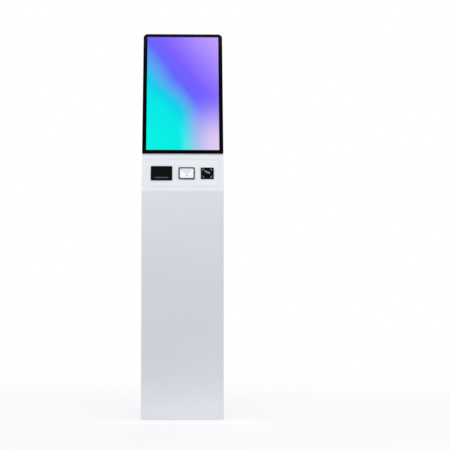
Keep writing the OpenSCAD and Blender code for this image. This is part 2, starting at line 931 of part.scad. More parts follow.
module power_supply() {
    slit_w = 3;
    slit_d = 4;
    slit_step = 12;
    slit_edge = 20;
    slit_end = 25;
    low = [-supply_w / 2, col_d - sheet - supply_d, supply_z];
    color("gray") in_body() difference() {
        block(low, low + [supply_w, supply_d, supply_l]);
        for (x = [slit_edge : slit_step : supply_w - slit_edge]) {
            block(low + [x, -cut, slit_end], low + [x + slit_w, slit_d, supply_l - slit_end]);
        }
    }
}

// A round cable along a route that keeps one x, with a ring of points at each of its corners
function unit(v) = v / norm(v);
function leg(route, i) = let (k = max(1, min(i, len(route) - 1))) unit(route[k] - route[k - 1]);
function cable_ring(route, i, r) =
    let (way = unit(leg(route, i) + leg(route, i + 1)), up = cross(way, [1, 0, 0]) / (way * leg(route, i)))
    [for (k = [0 : cable_sides - 1]) route[i] + r * (cos(360 * k / cable_sides) * [1, 0, 0]
        + sin(360 * k / cable_sides) * up)];

module cable(route, r) {
    skin([for (i = [0 : len(route) - 1]) cable_ring(route, i, r)]);
}

module wiring_loom() {
    loom_x = 60;
    bend_t = 45;
    bend_s = 150;
    bend_drop = 30;
    plug_l = 40;
    plug_t = lcd_back + controller_d / 2;
    plug_s = controller_s - controller_l / 2;
    mains_d = col_d - sheet - supply_d + loom_r + 1;
    riser_d = col_d - sheet - supply_d / 2;
    bend_in = head_pt(bend_t, bend_s);
    plug_in = head_pt(plug_t, plug_s);
    plug_out = head_pt(plug_t, plug_s - plug_l);
    color("dimgray") in_body() {
        cable([
            [0, col_d - inlet_d, inlet_z], [0, mains_d, inlet_z], [0, mains_d, supply_z]
        ], loom_r);
        cable([
            [loom_x, riser_d, supply_z + supply_l], [loom_x, riser_d, bend_z - bend_drop],
            [loom_x, bend_in[0], bend_in[1]], [loom_x, plug_out[0], plug_out[1]],
            [loom_x, plug_in[0], plug_in[1]]
        ], loom_r);
    }
}

// Module plate
module module_hole(x, w, l) {
    translate([x, module_s]) square([w + 2 * loose, l + 2 * loose], center = true);
}

module module_plate() {
    color("white") on_head() difference() {
        union() {
            slab(0, sheet) translate([0, plate_s]) round_rect(plate_w, plate_l, plate_r);
            slab(sheet, sheet + plate_lap_t) translate([0, plate_s]) {
                round_rect(plate_w + 2 * plate_lap, plate_l + 2 * plate_lap, plate_r);
            }
        }
        slab(-cut, sheet + plate_lap_t + cut) {
            module_hole(printer_x, collar_w, collar_l);
            module_hole(reader_x, reader_in_w, reader_in_l);
            module_hole(scanner_x, scanner_in_w, scanner_in_l);
        }
    }
}

// Printer
module printer_opening() {
    translate([-open_w / 2, slot_s]) square([open_w, open_top - slot_s]);
}

module printer_bezel() {
    color([0.05, 0.05, 0.05]) on_printer() difference() {
        union() {
            slab(-proud, 0) round_rect(bezel_w, bezel_l, bezel_r);
            slab(0, collar_d) square([collar_w, collar_l], center = true);
        }
        slab(-proud - cut, collar_d + cut) printer_opening();
        slab(-proud - cut, tear_pocket - proud) {
            translate([-paper_w / 2 - 1, slot_s - tear_h]) square([paper_w + 2, tear_h + cut]);
        }
        rod(cover_pin_r, -open_w / 2 - pin_seat, open_w / 2 + pin_seat, hinge_t, cover_top);
        slab(-proud - cut, -loose) {
            translate([button_x, button_s]) {
                square([button_w + 2 * button_gap, button_l + 2 * button_gap], center = true);
            }
            translate([button_x, -button_s]) circle(r = feed_r + button_gap);
        }
        for (s = [-button_s, button_s]) {
            peg(button_stem_r + run, -cut, collar_d + cut, button_stem_x, s);
        }
    }
}

module printer_bucket() {
    color([0.12, 0.12, 0.12]) on_printer() {
        difference() {
            union() {
                slab(collar_d, collar_d + flange_t) square([collar_w, collar_l], center = true);
                block([-bucket_w / 2, collar_d, bucket_low], [bucket_w / 2, bucket_t, bucket_top]);
            }
            slab(collar_d - cut, front_bay_t) printer_opening();
            block([-bay_w / 2, collar_d, head_low], [bay_w / 2, head_t0 + head_plate_t, head_top]);
            block([-bay_w / 2, collar_d, roll_s - bay_r], [bay_w / 2, roll_t, roll_s + bay_r]);
            rod(bay_r, -bay_w / 2, bay_w / 2, roll_t, roll_s);
            block([gear_x - gear_gap, collar_d - cut, platen_s - idler_out_r - well_gap],
                [open_w / 2, idler_t + idler_out_r + well_gap, pinion_s + pinion_out_r + well_gap]);
            rod(motor_shaft_r + loose, open_w / 2 - cut, bucket_w / 2 + cut, idler_t, pinion_s);
        }
        rod(idler_axle_r, gear_x - gear_gap - cut, gear_x + gear_w, idler_t, platen_s);
    }
}

module printer_cover() {
    color([0.08, 0.08, 0.08]) on_printer() difference() {
        union() {
            slab(-proud, 0) translate([-cover_w / 2, -cover_low]) square([cover_w, cover_low + cover_top]);
            rod(cover_knuckle_r, -cover_w / 2, cover_w / 2, hinge_t, cover_top);
            for (x = [-arm_x - arm_t, arm_x]) {
                block([x, -cut, -cover_low], [x + arm_t, platen_t + arm_end, platen_s + arm_l]);
            }
        }
        rod(cover_pin_r + run, -cover_w / 2 - cut, cover_w / 2 + cut, hinge_t, cover_top);
        rod(platen_shaft_r + run, -cover_w / 2, cover_w / 2, platen_t, platen_s);
    }
}

module cover_pin() {
    end = open_w / 2 + pin_seat;
    color("silver") on_printer() rod(cover_pin_r, -end, end, hinge_t, cover_top);
}

module platen_roller() {
    color("dimgray") on_printer() {
        rod(platen_shaft_r, -arm_x - arm_t - 1, gear_x + gear_w, platen_t, platen_s);
        rod(platen_r, -paper_w / 2, paper_w / 2, platen_t, platen_s);
    }
}

// Half of a tooth's angle at a radius, on an involute flank
function involute(a) = tan(a) * 180 / PI - a;
function half_tooth(teeth, r) =
    let (pitch_r = tooth * teeth / 2, root_r = pitch_r * cos(pressure))
    90 / teeth - backlash / 2 / pitch_r * 180 / PI + involute(pressure)
    - involute(acos(min(1, root_r / max(r, root_r))));

// A gear's outline, with the middle of one tooth at an angle
module gear_shape(teeth, turn) {
    pitch_r = tooth * teeth / 2;
    radii = [pitch_r - root_depth * tooth, pitch_r * cos(pressure), pitch_r, pitch_r + tip_height * tooth];
    sides = [[0, -1], [1, -1], [2, -1], [3, -1], [3, 1], [2, 1], [1, 1], [0, 1]];
    polygon([for (k = [0 : teeth - 1]) for (p = sides)
        let (r = radii[p[0]], a = turn + 360 * k / teeth + p[1] * half_tooth(teeth, r))
        r * [cos(a), sin(a)]]);
}

module gear(teeth, turn, t, s, bore) {
    difference() {
        translate([gear_x, t, s]) rotate([90, 0, 90]) linear_extrude(gear_w) gear_shape(teeth, turn);
        rod(bore, gear_x - cut, gear_x + gear_w + cut, t, s);
    }
}

module platen_gear() {
    color("ivory") on_printer() gear(platen_teeth, 0, platen_t, platen_s, platen_shaft_r);
}

module idler_gear() {
    turn = 180 + 180 / idler_teeth;
    color("ivory") on_printer() gear(idler_teeth, turn, idler_t, platen_s, idler_axle_r + run);
}

module motor_pinion() {
    shaft_in = 6;
    color("goldenrod") on_printer() {
        gear(pinion_teeth, 270, idler_t, pinion_s, motor_shaft_r);
        rod(motor_shaft_r, gear_x, bucket_w / 2 + shaft_in, idler_t, pinion_s);
    }
}

module stepper_motor() {
    shaft_in = 7;
    color("silver") on_printer() difference() {
        rod(motor_r, bucket_w / 2, bucket_w / 2 + motor_l, idler_t, pinion_s);
        rod(motor_shaft_r + run, bucket_w / 2 - cut, bucket_w / 2 + shaft_in, idler_t, pinion_s);
    }
}

module thermal_head() {
    color("tan") on_printer() {
        block([-paper_w / 2, head_t0, head_low], [paper_w / 2, head_t0 + head_plate_t, head_top]);
    }
}

module tear_bar() {
    bar_t = 1.4;
    tip = 0.6;
    step = 2;
    n = floor(paper_w / step);
    low = slot_s - tear_h;
    teeth = [for (i = [0 : n - 1]) each [[n / 2 - i, -1], [n / 2 - i - 0.5, 0]]];
    color("silver") on_printer() slab(tear_pocket - proud - bar_t, tear_pocket - proud) polygon(concat(
        [[-n / 2 * step, low], [n / 2 * step, low]],
        [for (p = teeth) [p[0] * step, slot_s + p[1] * tip]],
        [[-n / 2 * step, slot_s - tip]]
    ));
}

module paper_roll() {
    color("white") on_printer() difference() {
        rod(roll_r, -paper_w / 2, paper_w / 2, roll_t, roll_s);
        rod(core_r, -paper_w / 2 - cut, paper_w / 2 + cut, roll_t, roll_s);
    }
}

module button_stem(s) {
    stem_short = 1.5;
    peg(button_stem_r, -proud, collar_d - stem_short, button_stem_x, s);
}

module release_button() {
    color([0.2, 0.2, 0.2]) on_printer() {
        slab(-proud - button_proud, -button_cap_t) translate([button_x, button_s]) {
            round_rect(button_w, button_l, button_r);
        }
        button_stem(button_s);
    }
}

module feed_button() {
    color([0.2, 0.2, 0.2]) on_printer() {
        peg(feed_r, -proud - button_proud, -button_cap_t, button_x, -button_s);
        button_stem(-button_s);
    }
}

// Reader
module on_reader() {
    on_head() translate([reader_x, 0, module_s]) children();
}

module reader_frame() {
    color("dimgray") on_reader() slab(-proud, 0) difference() {
        round_rect(reader_w, reader_l, reader_r);
        round_rect(reader_in_w, reader_in_l, pad_corner_r);
    }
}

module reader_pad() {
    inset = 0.4;
    color("white") on_reader() slab(inset - proud, 0) {
        round_rect(reader_in_w - 2 * loose, reader_in_l - 2 * loose, pad_corner_r);
    }
}

module reader_housing() {
    color("dimgray") on_reader() difference() {
        slab(0, reader_d) square([reader_in_w, reader_in_l], center = true);
        slab(case_wall, reader_d + cut) {
            square([reader_in_w - 2 * case_wall, reader_in_l - 2 * case_wall], center = true);
        }
    }
}

// Scanner
module on_scanner() {
    on_head() translate([scanner_x, 0, module_s]) children();
}

module scanner_window() {
    color("black") on_scanner() slab(-proud, 0) round_rect(scanner_w, scanner_l, window_r);
}

module scanner_housing() {
    color("dimgray") on_scanner() difference() {
        slab(0, scanner_d) square([scanner_in_w, scanner_in_l], center = true);
        slab(-cut, scanner_d - case_wall) {
            square([scanner_in_w - 2 * case_wall, scanner_in_l - 2 * case_wall], center = true);
        }
    }
}

module scan_engine() {
    engine_w = 24;
    engine_l = 18;
    engine_d = 16;
    lens_l = 5;
    lens_r = 5;
    back = scanner_d - case_wall;
    color("green") on_scanner() {
        slab(back - engine_d, back) square([engine_w, engine_l], center = true);
        peg(lens_r, back - engine_d - lens_l, back - engine_d + cut, 0, 0);
    }
}

base_cover();
base_plate();
base_spacers();
column_bolts();
foot(-1, foot_inset);  // foot_front_left
foot(1, foot_inset);  // foot_front_right
foot(-1, base_d - foot_inset);  // foot_rear_left
foot(1, base_d - foot_inset);  // foot_rear_right
cabinet_floor();
front_panel();
side_panel(-1);  // side_panel_left
side_panel(1);  // side_panel_right
top_cap();
cross_rails();
back_panel();
back_panel_screws();
hinge_pins();
hinge_frame_leaves();
upper_door();
on_upper_door() door_leaf();  // upper_door_leaf
lower_door();
on_lower_door() door_leaf();  // lower_door_leaf
on_upper_door() lock_housing(upper_lock_z);  // upper_lock_housing
on_upper_door() lock_nut(upper_lock_z);  // upper_lock_nut
on_upper_door() lock_cylinder(upper_lock_z);  // upper_lock_cylinder
on_upper_door() lock_cam(upper_lock_z);  // upper_lock_cam
on_lower_door() lock_housing(lower_lock_z);  // lower_lock_housing
on_lower_door() lock_nut(lower_lock_z);  // lower_lock_nut
on_lower_door() lock_cylinder(lower_lock_z);  // lower_lock_cylinder
on_lower_door() lock_cam(lower_lock_z);  // lower_lock_cam
touch_glass();
glass_tape();
display_panel();
display_brackets();
controller_box();
power_inlet();
power_rocker();
power_supply();
wiring_loom();
module_plate();
printer_bezel();
printer_bucket();
printer_cover();
cover_pin();
platen_roller();
platen_gear();
idler_gear();
motor_pinion();
stepper_motor();
thermal_head();
tear_bar();
paper_roll();
release_button();
feed_button();
reader_frame();
reader_pad();
reader_housing();
scanner_window();
scanner_housing();
scan_engine();
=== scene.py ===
import math

import bmesh
import bpy
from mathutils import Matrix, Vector


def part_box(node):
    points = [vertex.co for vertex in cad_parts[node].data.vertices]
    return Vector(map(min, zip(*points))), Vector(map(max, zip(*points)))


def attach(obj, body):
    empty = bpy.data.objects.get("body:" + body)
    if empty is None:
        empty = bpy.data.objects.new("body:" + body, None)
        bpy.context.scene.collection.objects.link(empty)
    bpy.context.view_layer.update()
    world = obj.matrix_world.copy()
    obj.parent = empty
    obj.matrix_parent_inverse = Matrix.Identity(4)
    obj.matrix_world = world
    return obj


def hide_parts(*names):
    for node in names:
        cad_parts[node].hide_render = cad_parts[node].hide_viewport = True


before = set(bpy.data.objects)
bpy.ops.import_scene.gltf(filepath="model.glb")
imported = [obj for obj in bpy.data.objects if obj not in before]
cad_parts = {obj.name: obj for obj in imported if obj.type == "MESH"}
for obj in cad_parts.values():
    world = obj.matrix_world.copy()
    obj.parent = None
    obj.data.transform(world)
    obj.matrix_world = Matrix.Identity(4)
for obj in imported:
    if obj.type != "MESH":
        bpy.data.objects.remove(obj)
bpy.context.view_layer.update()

# Cabinet, base cover, doors and module plate: folded sheet steel, two millimetres thick, powder
# coated in white. The coat is baked on, so it is thicker than paint, rounds the edges it covers and
# has a fine orange-peel skin.


class Wire:
    """An output of a shader node. Sums on it add Math nodes to its material."""

    def __init__(self, tree, out=None):
        self.tree = tree
        self.out = out

    def node(self, kind, settings=None, sockets=None, out=0):
        """Adds a node, sets it up, links the wires among its sockets and gives one output."""
        made = self.tree.nodes.new("ShaderNode" + kind)
        for key, value in (settings or {}).items():
            if key == "stops":
                ramp = made.color_ramp.elements
                ramp.remove(ramp[1])
                ramp[0].position, ramp[0].color = value[0]
                for spot, colour in value[1:]:
                    ramp.new(spot).color = colour
            else:
                setattr(made, key, value)
        for key, value in (sockets or {}).items():
            if isinstance(value, Wire):
                self.tree.links.new(value.out, made.inputs[key])
            else:
                made.inputs[key].default_value = value
        return Wire(self.tree, made.outputs[out] if made.outputs else None)

    def sum(self, operation, first, second=0.0):
        return self.node("Math", {"operation": operation}, {0: first, 1: second})

    def __add__(self, other):
        return self.sum("ADD", self, other)

    def __sub__(self, other):
        return self.sum("SUBTRACT", self, other)

    def __rsub__(self, other):
        return self.sum("SUBTRACT", other, self)

    def __mul__(self, other):
        return self.sum("MULTIPLY", self, other)

    def __truediv__(self, other):
        return self.sum("DIVIDE", self, other)

    def __rtruediv__(self, other):
        return self.sum("DIVIDE", other, self)

    def __lt__(self, other):
        return self.sum("LESS_THAN", self, other)

    def __gt__(self, other):
        return self.sum("GREATER_THAN", self, other)

    def __abs__(self):
        return self.sum("ABSOLUTE", self)

    __radd__ = __add__
    __rmul__ = __mul__

    def rise(self, low, high):
        """A soft step from 0 at the low value to 1 at the high one, or down where low is higher."""
        limits = {"Value": self, "From Min": low, "From Max": high}
        return self.node("MapRange", {"interpolation_type": "SMOOTHSTEP"}, limits)

    def blend(self, first, second):
        """The first colour where this is 0, and the second where it is 1."""
        return self.node("Mix", {"data_type": "RGBA"}, {0: self, 6: first, 7: second}, 2)


def srgb(red, green, blue):
    """A colour as a screen gives it, 0 to 255, in the linear light that shaders use."""
    parts = [value / 255 for value in (red, green, blue)]
    return (*[p / 12.92 if p <= 0.04045 else ((p + 0.055) / 1.055) ** 2.4 for p in parts], 1.0)


def start_finish(name):
    """A new material, a bare wire that adds its nodes, and its place in metres at rest."""
    material = bpy.data.materials.new(name)
    material.use_nodes = True
    material.node_tree.nodes.clear()
    tree = Wire(material.node_tree)
    return material, tree, tree.node("TexCoord", out="Object")


def end_finish(tree, values, bumps=()):
    """Closes a material with its shader; a bump is a height, its strength and its depth."""
    normal = None
    for height, strength, depth in bumps:
        sockets = {"Height": height, "Strength": strength, "Distance": depth}
        if normal:
            sockets["Normal"] = normal
        normal = tree.node("Bump", {}, sockets)
    if normal:
        values = {**values, "Normal": normal}
    shader = tree.node("BsdfPrincipled", {}, values)
    tree.node("OutputMaterial", {}, {"Surface": shader})


def noise(tree, place, grains, detail):
    """Noise of so many grains to the metre, and so many finer layers on them."""
    return tree.node("TexNoise", {}, {"Vector": place, "Scale": grains, "Detail": detail})


def dress(finish, edge, *nodes):
    """Gives CAD nodes their finish, and breaks their sharp edges by a small radius."""
    for name in nodes:
        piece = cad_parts[name]
        piece.data.materials.clear()
        piece.data.materials.append(finish)
        if edge:
            weld = piece.modifiers.new("joined corners", "WELD")
            weld.merge_threshold = 8e-5
            whole = piece.modifiers.new("whole faces", "DECIMATE")
            whole.decimate_type = "DISSOLVE"
            whole.angle_limit = math.radians(0.5)
            bevel = piece.modifiers.new("broken edges", "BEVEL")
            bevel.width = edge
            bevel.segments = 2
            bevel.limit_method = "ANGLE"
            bevel.angle_limit = math.radians(40)
            flat = piece.modifiers.new("flat faces", "WEIGHTED_NORMAL")
            flat.keep_sharp = True


folded_edge = 0.0007
cut_edge = 0.0004
coat_dark = srgb(227, 228, 230)
coat_light = srgb(232, 232, 234)
powder_coat, tree, place = start_finish("powder coat")
peel = noise(tree, place, 620, 3)
cloud = noise(tree, place, 2.4, 4)
end_finish(
    tree,
    {
        "Base Color": cloud.rise(0.3, 0.7).blend(coat_dark, coat_light),
        "Roughness": 0.36 + 0.12 * cloud,
    },
    [(peel, 0.2, 0.0004)],
)
dress(powder_coat, folded_edge, "base_cover", "back_panel", "upper_door", "lower_door", "top_cap")
dress(powder_coat, cut_edge, "front_panel", "side_panel_left", "side_panel_right", "module_plate")
dress(powder_coat, 0, "cabinet_floor", "cross_rails")

# Ballast: a plate cut from thick steel, in black primer. Zinc-plated bolts and tubes hold it up to
# the cabinet. The hinges, lock nuts, brackets and the supply's case are zinc plated as well.


def mottled(name, dark, light, spread, rough, grains, detail, bump=None, stretch=None, fixed=None):
    """A finish of two tones that one noise blends over a spread of its values.

    The roughness is a base and what the noise adds to it, and a bump is its strength and its depth.
    """
    material, tree, place = start_finish(name)
    if stretch:
        place = tree.node("Mapping", {}, {"Vector": place, "Scale": stretch})
    tone = noise(tree, place, grains, detail)
    values = {
        "Base Color": tone.rise(*spread).blend(dark, light),
        "Roughness": rough[0] + rough[1] * tone,
        **(fixed or {}),
    }
    end_finish(tree, values, [(tone, *bump)] if bump else ())
    return material


plate_edge = 0.0006
primer = mottled(
    "black primer", srgb(26, 26, 28), srgb(40, 40, 42),
    spread=(0.35, 0.7), rough=(0.5, 0.2), grains=260, detail=3, bump=(0.2, 0.0003),
)
dress(primer, plate_edge, "base_plate", "controller_box")

plated_edge = 0.0003
zinc_dark = srgb(148, 150, 153)
zinc_light = srgb(184, 185, 186)
zinc = mottled(
    "zinc plate", zinc_dark, zinc_light,
    spread=(0.25, 0.75), rough=(0.34, 0.2), grains=90, detail=5, bump=(0.05, 0.0001),
    stretch=(1.0, 14.0, 14.0), fixed={"Metallic": 1.0},
)
dress(zinc, plated_edge, "base_spacers", "column_bolts", "hinge_frame_leaves")
dress(zinc, plated_edge, "upper_door_leaf", "upper_lock_nut", "upper_lock_cam")
dress(zinc, plated_edge, "lower_door_leaf", "lower_lock_nut", "lower_lock_cam")
dress(zinc, 0, "hinge_pins", "display_brackets", "power_supply", "cover_pin", "stepper_motor")

# Levelling feet: moulded rubber pads on zinc-plated stems, whose thread turns in the ballast plate.
# The same rubber makes the tape under the glass and the sleeve of the platen roller.
rubber_dark = srgb(20, 20, 21)
rubber_light = srgb(44, 44, 45)
rubber = mottled(
    "black rubber", rubber_dark, rubber_light,
    spread=(0.4, 0.8), rough=(0.7, 0.2), grains=180, detail=4, bump=(0.15, 0.0002),
)
dress(rubber, 0, "glass_tape", "platen_roller")

pad_edge = 0.0008
stem_foot = 0.0065
thread_pitch = 0.0015
foot_pad, tree, place = start_finish("levelling foot")
height = tree.node("SeparateXYZ", {}, {"Vector": place}, "Z")
stem = height > stem_foot
thread = stem * tree.sum("SINE", height * (2 * math.pi / thread_pitch))
dust = noise(tree, place, 180, 4)
pad_tone = dust.rise(0.4, 0.8).blend(rubber_dark, rubber_light)
stem_tone = dust.rise(0.25, 0.75).blend(zinc_dark, zinc_light)
end_finish(
    tree,
    {
        "Base Color": stem.blend(pad_tone, stem_tone),
        "Metallic": stem,
        "Roughness": 0.7 + 0.2 * dust - 0.36 * stem,
    },
    [(dust, 0.15, 0.0002), (thread, 0.6, 0.0004)],
)
dress(foot_pad, pad_edge, "foot_front_left", "foot_front_right")
dress(foot_pad, pad_edge, "foot_rear_left", "foot_rear_right")

# Back panel's screws: eight zinc-plated pan heads, each with a cross for the driver pressed into
# it. They go through the panel into the folded edges of the sides.
x_way = Vector((1, 0, 0))
y_way = Vector((0, 1, 0))
z_way = Vector((0, 0, 1))


def skin(bm, rows, finish=0):
    """Closes rings of points into one body, with walls between them and a face at each end."""
    faces = [bm.faces.new(rows[0]), bm.faces.new(rows[-1])]
    for lower, upper in zip(rows, rows[1:]):
        for turn in range(len(lower)):
            after = (turn + 1) % len(lower)
            faces.append(bm.faces.new((lower[turn], lower[after], upper[after], upper[turn])))
    for face in faces:
        face.material_index = finish


def pan_head(bm, middle, across, along, out, radius, rise):
    """A domed head on a face, as rings of points that the cross pushes in."""
    cross_w = 0.18 * radius
    cross_l = 0.58 * radius
    cross_d = 0.55 * rise
    rings = 16
    turns = 48
    rows = []
    for ring in range(1, rings + 1):
        share = ring / rings
        row = []
        for turn in range(turns):
            angle = 2 * math.pi * turn / turns
            a = share * radius * math.cos(angle)
            b = share * radius * math.sin(angle)
            arm = min(abs(a), abs(b)) < cross_w and max(abs(a), abs(b)) < cross_l
            height = rise * (1 - share**4) ** 0.5 - (cross_d if arm else 0)
            row.append(bm.verts.new(middle + across * a + along * b + out * height))
        rows.append(row)
    skin(bm, rows)


def add_piece(name, bm, finishes, body):
    """Turns a finished mesh into a piece that moves with a body and has the given finishes."""
    bmesh.ops.recalc_face_normals(bm, faces=bm.faces)
    mesh = bpy.data.meshes.new(name)
    bm.to_mesh(mesh)
    bm.free()
    mesh.shade_smooth()
    mesh.set_sharp_from_angle(angle=math.radians(32))
    for finish in finishes:
        mesh.materials.append(finish)
    piece = bpy.data.objects.new(name, mesh)
    bpy.context.scene.collection.objects.link(piece)
    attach(piece, body)
    return piece


screw_r = 0.004
screw_rise = 0.0022
screw_rows = 4
low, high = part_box("back_panel_screws")
panel_back_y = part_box("back_panel")[1].y
first_z = low.z + screw_r
last_z = high.z - screw_r
bm = bmesh.new()
for row in range(screw_rows):
    z = first_z + (last_z - first_z) * row / (screw_rows - 1)
    for side in (-1, 1):
        spot = Vector((side * (high.x - screw_r), panel_back_y, z))
        pan_head(bm, spot, x_way, z_way, y_way, screw_r, screw_rise)
panel_screws = add_piece("panel_screws", bm, [zinc], "cabinet")
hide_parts("back_panel_screws")

# Cam locks of the two doors: turned housings and key cylinders, chrome plated and polished. A nut
# behind the door holds each housing, and the cylinder carries the cam round.
chrome = mottled(
    "lock chrome", srgb(214, 215, 217), srgb(228, 229, 230),
    spread=(0.3, 0.7), rough=(0.1, 0.12), grains=400, detail=3, bump=(0.03, 0.0001),
    fixed={"Metallic": 1.0},
)
dress(chrome, plated_edge, "upper_lock_housing", "lower_lock_housing")
dress(chrome, plated_edge, "upper_lock_cylinder", "lower_lock_cylinder")

# Touch glass: toughened, with an anti-glare face and a black border printed on its back. The panel
# behind is bonded to it, so the lit picture stands at the glass: a soft field of blue, violet and
# green.
lean = math.radians(20)
front_y = -0.2315
bend = Vector((0, front_y, 0.911))
up_glass = Vector((0, math.sin(lean), math.cos(lean)))
view_w = 0.295
view_l = 0.522
view_middle = 0.439
glass_edge = 0.0006


def across_and_up(tree, place, x, up):
    """Metres on the leaning front from a point that is x across it and up it from the bend."""
    beside = tree.node("SeparateXYZ", {}, {"Vector": place}) - x
    dot = {"operation": "DOT_PRODUCT"}
    along = tree.node("VectorMath", dot, {0: place, 1: up_glass}, "Value")
    return beside, along - (bend.dot(up_glass) + up)


def round_patch(u, v, middle_u, middle_v, reach):
    """A patch of the picture that is 1 in its middle and fades out; the reach is squared."""
    off_u = u - middle_u
    off_v = v - middle_v
    return (off_u * off_u + off_v * off_v).rise(reach, 0.0)


glass, tree, place = start_finish("touch glass")
beside, along = across_and_up(tree, place, 0, view_middle)
u = beside / view_w + 0.5
v = along / view_l + 0.5
drift = noise(tree, place, 3.2, 1) - 0.5
bulge = round_patch(u, v, 0.36, 0.22, 0.16)
shore = round_patch(u, v, 0.0, 0.58, 0.14)
sweep = 0.45 * u + 0.55 * v + 0.08 * drift - 0.1 * bulge - 0.05 * shore
field = tree.node(
    "ValToRGB",
    {
        "stops": [
            (0.0, srgb(0, 242, 226)),
            (0.22, srgb(0, 232, 230)),
            (0.3, srgb(10, 206, 238)),
            (0.42, srgb(90, 160, 240)),
            (0.54, srgb(102, 100, 255)),
            (0.64, srgb(122, 96, 255)),
            (0.76, srgb(150, 120, 255)),
            (0.95, srgb(190, 155, 255)),
        ]
    },
    {0: sweep},
)
pale = u.rise(0.43, 0.98) * v.rise(0.52, 0.03)
picture = pale.blend(field, srgb(226, 203, 241))
lit = (abs(beside) < view_w / 2) * (abs(along) < view_l / 2)
smear = noise(tree, place, 9, 3)
end_finish(
    tree,
    {
        "Base Color": srgb(6, 6, 8),
        "Roughness": 0.05 + 0.06 * smear,
        "Specular IOR Level": 0.015,
        "Emission Color": lit.blend((0.0, 0.0, 0.0, 1.0), picture),
        "Emission Strength": 1.0,
    },
)
dress(glass, glass_edge, "touch_glass")

# Display panel behind the glass: its back is one pressed sheet of galvanised steel, with two tall
# raised fields and a wide one that stiffen it.
panel_edge = 0.0008
galvanised, tree, place = start_finish("galvanised back")
drawn = tree.node("Mapping", {}, {"Vector": place, "Scale": (1.0, 30.0, 30.0)})
brush = noise(tree, drawn, 40, 3)
flakes = tree.node("TexVoronoi", {}, {"Vector": place, "Scale": 260.0}, "Color")
spangle = tree.node("SeparateColor", {}, {"Color": flakes})
sheen = (0.75 * brush + 0.25 * spangle).rise(0.1, 0.9)
end_finish(
    tree,
    {
        "Base Color": sheen.blend(srgb(126, 129, 132), srgb(166, 168, 170)),
        "Metallic": 0.9,
        "Roughness": 0.42 + 0.2 * brush,
    },
    [(brush, 0.04, 0.0001)],
)
dress(galvanised, panel_edge, "display_panel")

out_of_front = Vector((0, -math.cos(lean), math.sin(lean)))
inward = -out_of_front
panel_depth = 0.016


def at_front(x, up, depth):
    """A point of the leaning head: across it, up it from the bend, and behind its front."""
    return bend + x_way * x + up_glass * up + inward * depth


def rounded_outline(w, l, r):
    """Corners of a rounded rectangle round its middle, as pairs of numbers."""
    steps = 6
    spots = []
    for corner in range(4):
        middle_x = (w / 2 - r) * (1 if corner in (0, 3) else -1)
        middle_y = (l / 2 - r) * (1 if corner in (0, 1) else -1)
        for step in range(steps + 1):
            angle = math.pi / 2 * (corner + step / steps)
            spots.append((middle_x + r * math.cos(angle), middle_y + r * math.sin(angle)))
    return spots


def raised(bm, middle, across, along, out, w, l, r, rings, finish=0):
    """A closed block on a face, through rings that each step in and stand up by so much."""
    rows = []
    for inset, height in rings:
        outline = rounded_outline(w - 2 * inset, l - 2 * inset, max(r - inset, 0.1 * r))
        level = middle + out * height
        rows.append([bm.verts.new(level + across * a + along * b) for a, b in outline])
    skin(bm, rows, finish)


def raised_inside(bm, x, up, depth, w, l, r, rings, finish=0):
    """A block on a face that looks into the leaning head."""
    raised(bm, at_front(x, up, depth), x_way, up_glass, inward, w, l, r, rings, finish)


pressing = [
    (0, 0), (0.0006, 0.0002), (0.0022, 0.0014), (0.003, 0.0016),
    (0.016, 0.0016), (0.017, 0.0013), (0.019, 0.0004),
]
bm = bmesh.new()
for x, up, wide, long, corner in (
    (-0.066, 0.575, 0.112, 0.18, 0.014),
    (0.066, 0.575, 0.112, 0.18, 0.014),
    (0, 0.29, 0.244, 0.06, 0.012),
):
    raised_inside(bm, x, up, panel_depth, wide, long, corner, pressing)
add_piece("panel_pressings", bm, [galvanised], "cabinet")

# Driver board: a narrow printed circuit along the panel's lower edge, with its chips and sockets
# soldered on. The code scanner's engine is built on a board of the same green.
board, tree, place = start_finish("circuit board")
trace = tree.node("TexVoronoi", {"distance": "MANHATTAN"}, {"Vector": place, "Scale": 260.0})
end_finish(
    tree,
    {
        "Base Color": trace.rise(0.3, 0.5).blend(srgb(18, 70, 40), srgb(40, 104, 62)),
        "Roughness": 0.35 + 0.2 * trace,
    },
)
dress(board, 0, "scan_engine")

chip_case = mottled(
    "chip case", srgb(24, 24, 25), srgb(38, 38, 40),
    spread=(0.3, 0.7), rough=(0.55, 0.2), grains=1400, detail=3, bump=(0.1, 0.0001),
)
chip_r = 0.0008
board_t = 0.0016
board_r = 0.002
driver_w = 0.21
driver_l = 0.03
driver_up = 0.212


def chip(bm, x, up, depth, wide, long, tall):
    """A chip or a socket on a board, with its upper edge broken."""
    broken = 0.0003
    rings = [(0, 0), (0, tall - broken), (broken, tall)]
    raised_inside(bm, x, up, depth, wide, long, chip_r, rings, 1)


bare_board = [(0, 0), (0, board_t)]
bm = bmesh.new()
raised_inside(bm, 0, driver_up, panel_depth, driver_w, driver_l, board_r, bare_board)
for x, wide, long, tall in (
    (-0.088, 0.012, 0.02, 0.006),
    (-0.062, 0.018, 0.012, 0.0014),
    (-0.036, 0.009, 0.009, 0.0012),
    (-0.02, 0.006, 0.014, 0.003),
    (0.004, 0.02, 0.02, 0.0016),
    (0.03, 0.009, 0.009, 0.0012),
    (0.048, 0.012, 0.007, 0.0014),
    (0.078, 0.032, 0.01, 0.005),
):
    chip(bm, x, driver_up, panel_depth + board_t, wide, long, tall)
add_piece("driver_board", bm, [board, chip_case], "cabinet")

